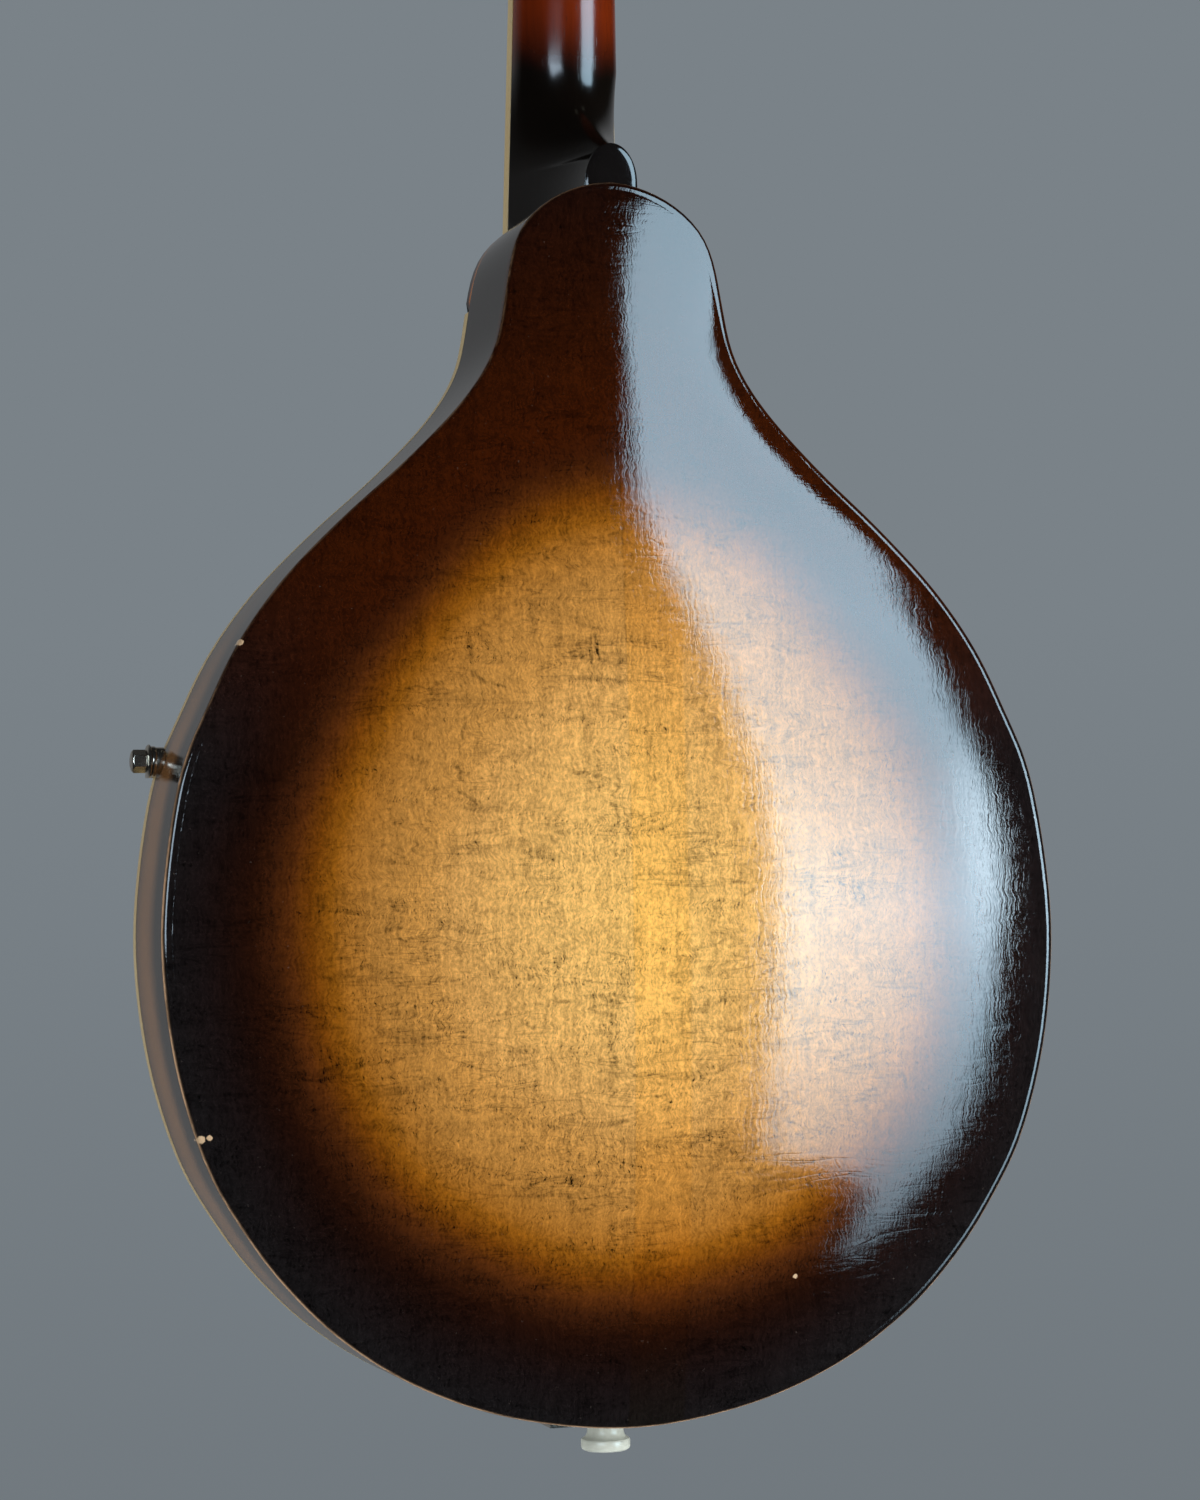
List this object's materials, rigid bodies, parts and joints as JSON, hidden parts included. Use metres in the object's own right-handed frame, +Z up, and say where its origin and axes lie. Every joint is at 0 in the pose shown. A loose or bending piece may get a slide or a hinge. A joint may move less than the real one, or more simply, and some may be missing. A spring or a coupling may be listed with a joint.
{
  "type": "mandola",
  "caption": "Eight-string mandola with a carved teardrop body, sunburst maple back, f-hole top, adjustable bridge, covered tailpiece and geared tuning keys.",
  "frame": {"origin": "middle of the neck under the nut, where a wall hanger's yoke holds the instrument", "axes": "+Z up the body towards the headstock, +Y out of the carved back, +X towards the treble side"},
  "size_m": [0.2817, 0.0933, 0.6886],
  "materials": {
    "back": "gloss sunburst lacquer on figured maple",
    "top": "gloss sunburst lacquer on spruce",
    "ribs": "dark brown gloss lacquer on maple",
    "neck": "dark gloss lacquer, red-brown towards the headstock",
    "bare_wood": "bare",
    "fingerboard": "oiled rosewood",
    "ebony": "satin",
    "binding": "aged cream",
    "black_plastic": "gloss",
    "pickguard": "mottled brown, gloss",
    "end_pin": "pale, slightly green",
    "key": "cream buttons on plated shafts",
    "nut": "bone",
    "nickel": "worn nickel plate",
    "steel": "plain",
    "wound_string": "bronze wound",
    "plain_string": "polished"
  },
  "bodies": {
    "body": {"headstock_veneer": "black_plastic", "truss_rod_cover": "black_plastic", "tuner_plate_bass": "nickel", "tuner_plate_treble": "nickel", "neck": "neck", "truss_rod": "steel", "fingerboard": "fingerboard", "fingerboard_binding": "binding", "nut": "nut", "pickguard": "pickguard", "back_plate": "back", "top_binding": "binding", "top_plate": "top", "rib_treble": "ribs", "rib_bass": "ribs", "neck_block": "bare_wood", "tail_block": "bare_wood", "lining_top_treble": "bare_wood", "lining_top_bass": "bare_wood", "lining_back_treble": "bare_wood", "lining_back_bass": "bare_wood", "tone_bar_treble": "bare_wood", "tone_bar_bass": "bare_wood", "end_pin": "end_pin", "heel_cap": "black_plastic", "string_1": "wound_string", "string_2": "wound_string", "string_3": "wound_string", "string_4": "wound_string", "string_5": "plain_string", "string_6": "plain_string", "string_7": "plain_string", "string_8": "plain_string", "bridge_base": "ebony", "bridge_stud_bass": "nickel", "bridge_stud_treble": "nickel", "tailpiece_base": "nickel", "pickguard_bracket": "nickel", "bracket_bolt": "nickel"},
    "saddle": {"bridge_saddle": "ebony"},
    "thumbwheel_bass": {"thumbwheel_bass": "nickel"},
    "thumbwheel_treble": {"thumbwheel_treble": "nickel"},
    "tail_cover": {"tailpiece_cover": "nickel"},
    "key_bass_1": {"key_bass_1": "key"},
    "key_bass_2": {"key_bass_2": "key"},
    "key_bass_3": {"key_bass_3": "key"},
    "key_bass_4": {"key_bass_4": "key"},
    "key_treble_1": {"key_treble_1": "key"},
    "key_treble_2": {"key_treble_2": "key"},
    "key_treble_3": {"key_treble_3": "key"},
    "key_treble_4": {"key_treble_4": "key"},
    "post_bass_1": {"post_bass_1": "nickel"},
    "post_bass_2": {"post_bass_2": "nickel"},
    "post_bass_3": {"post_bass_3": "nickel"},
    "post_bass_4": {"post_bass_4": "nickel"},
    "post_treble_1": {"post_treble_1": "nickel"},
    "post_treble_2": {"post_treble_2": "nickel"},
    "post_treble_3": {"post_treble_3": "nickel"},
    "post_treble_4": {"post_treble_4": "nickel"}
  },
  "joints": [
    {"name": "saddle_lift", "type": "slide", "parent": "body", "child": "saddle", "axis": [0, -1, 0], "range_m": [-0.001, 0.002], "deforming": ["string_1", "string_2", "string_3", "string_4", "string_5", "string_6", "string_7", "string_8"]},
    {"name": "thumbwheel_turn_bass", "type": "hinge", "parent": "saddle", "child": "thumbwheel_bass", "pos_m": [-0.034, -0.03694, -0.39903], "axis": [0, -1, 0], "range_deg": [-520, 1035]},
    {"name": "thumbwheel_turn_treble", "type": "hinge", "parent": "saddle", "child": "thumbwheel_treble", "pos_m": [0.034, -0.03694, -0.39903], "axis": [0, -1, 0], "range_deg": [-520, 1035]},
    {"name": "cover_slide", "type": "slide", "parent": "body", "child": "tail_cover", "axis": [0, 0.1664, -0.9861], "range_m": [0, 0.05]},
    {"name": "key_turn_bass_1", "type": "hinge", "parent": "body", "child": "key_bass_1", "pos_m": [-0.022, 0.02417, 0.03514], "axis": [1, 0, 0], "continuous": true, "deforming": ["string_1"]},
    {"name": "key_turn_bass_2", "type": "hinge", "parent": "body", "child": "key_bass_2", "pos_m": [-0.022, 0.03128, 0.05701], "axis": [1, 0, 0], "continuous": true, "deforming": ["string_2"]},
    {"name": "key_turn_bass_3", "type": "hinge", "parent": "body", "child": "key_bass_3", "pos_m": [-0.022, 0.03839, 0.07889], "axis": [1, 0, 0], "continuous": true, "deforming": ["string_3"]},
    {"name": "key_turn_bass_4", "type": "hinge", "parent": "body", "child": "key_bass_4", "pos_m": [-0.022, 0.04549, 0.10076], "axis": [1, 0, 0], "continuous": true, "deforming": ["string_4"]},
    {"name": "key_turn_treble_1", "type": "hinge", "parent": "body", "child": "key_treble_1", "pos_m": [0.022, 0.02417, 0.03514], "axis": [1, 0, 0], "continuous": true, "deforming": ["string_8"]},
    {"name": "key_turn_treble_2", "type": "hinge", "parent": "body", "child": "key_treble_2", "pos_m": [0.022, 0.03128, 0.05701], "axis": [1, 0, 0], "continuous": true, "deforming": ["string_7"]},
    {"name": "key_turn_treble_3", "type": "hinge", "parent": "body", "child": "key_treble_3", "pos_m": [0.022, 0.03839, 0.07889], "axis": [1, 0, 0], "continuous": true, "deforming": ["string_6"]},
    {"name": "key_turn_treble_4", "type": "hinge", "parent": "body", "child": "key_treble_4", "pos_m": [0.022, 0.04549, 0.10076], "axis": [1, 0, 0], "continuous": true, "deforming": ["string_5"]},
    {"name": "post_turn_bass_1", "type": "hinge", "parent": "body", "child": "post_bass_1", "pos_m": [-0.022, 0.00265, 0.03377], "axis": [0, 0.9511, -0.309], "continuous": true},
    {"name": "post_turn_bass_2", "type": "hinge", "parent": "body", "child": "post_bass_2", "pos_m": [-0.022, 0.00975, 0.05565], "axis": [0, 0.9511, -0.309], "continuous": true},
    {"name": "post_turn_bass_3", "type": "hinge", "parent": "body", "child": "post_bass_3", "pos_m": [-0.022, 0.01686, 0.07752], "axis": [0, 0.9511, -0.309], "continuous": true},
    {"name": "post_turn_bass_4", "type": "hinge", "parent": "body", "child": "post_bass_4", "pos_m": [-0.022, 0.02397, 0.0994], "axis": [0, 0.9511, -0.309], "continuous": true},
    {"name": "post_turn_treble_1", "type": "hinge", "parent": "body", "child": "post_treble_1", "pos_m": [0.022, 0.00265, 0.03377], "axis": [0, 0.9511, -0.309], "continuous": true},
    {"name": "post_turn_treble_2", "type": "hinge", "parent": "body", "child": "post_treble_2", "pos_m": [0.022, 0.00975, 0.05565], "axis": [0, 0.9511, -0.309], "continuous": true},
    {"name": "post_turn_treble_3", "type": "hinge", "parent": "body", "child": "post_treble_3", "pos_m": [0.022, 0.01686, 0.07752], "axis": [0, 0.9511, -0.309], "continuous": true},
    {"name": "post_turn_treble_4", "type": "hinge", "parent": "body", "child": "post_treble_4", "pos_m": [0.022, 0.02397, 0.0994], "axis": [0, 0.9511, -0.309], "continuous": true}
  ],
  "couplings": [
    {"joint": "thumbwheel_turn_bass", "follows": "saddle_lift", "rad_per_m": 8976},
    {"joint": "thumbwheel_turn_treble", "follows": "saddle_lift", "rad_per_m": 8976},
    {"joint": "post_turn_bass_1", "follows": "key_turn_bass_1", "ratio": 0.083333},
    {"joint": "post_turn_bass_2", "follows": "key_turn_bass_2", "ratio": 0.083333},
    {"joint": "post_turn_bass_3", "follows": "key_turn_bass_3", "ratio": 0.083333},
    {"joint": "post_turn_bass_4", "follows": "key_turn_bass_4", "ratio": 0.083333},
    {"joint": "post_turn_treble_1", "follows": "key_turn_treble_1", "ratio": 0.083333},
    {"joint": "post_turn_treble_2", "follows": "key_turn_treble_2", "ratio": 0.083333},
    {"joint": "post_turn_treble_3", "follows": "key_turn_treble_3", "ratio": 0.083333},
    {"joint": "post_turn_treble_4", "follows": "key_turn_treble_4", "ratio": 0.083333}
  ]
}
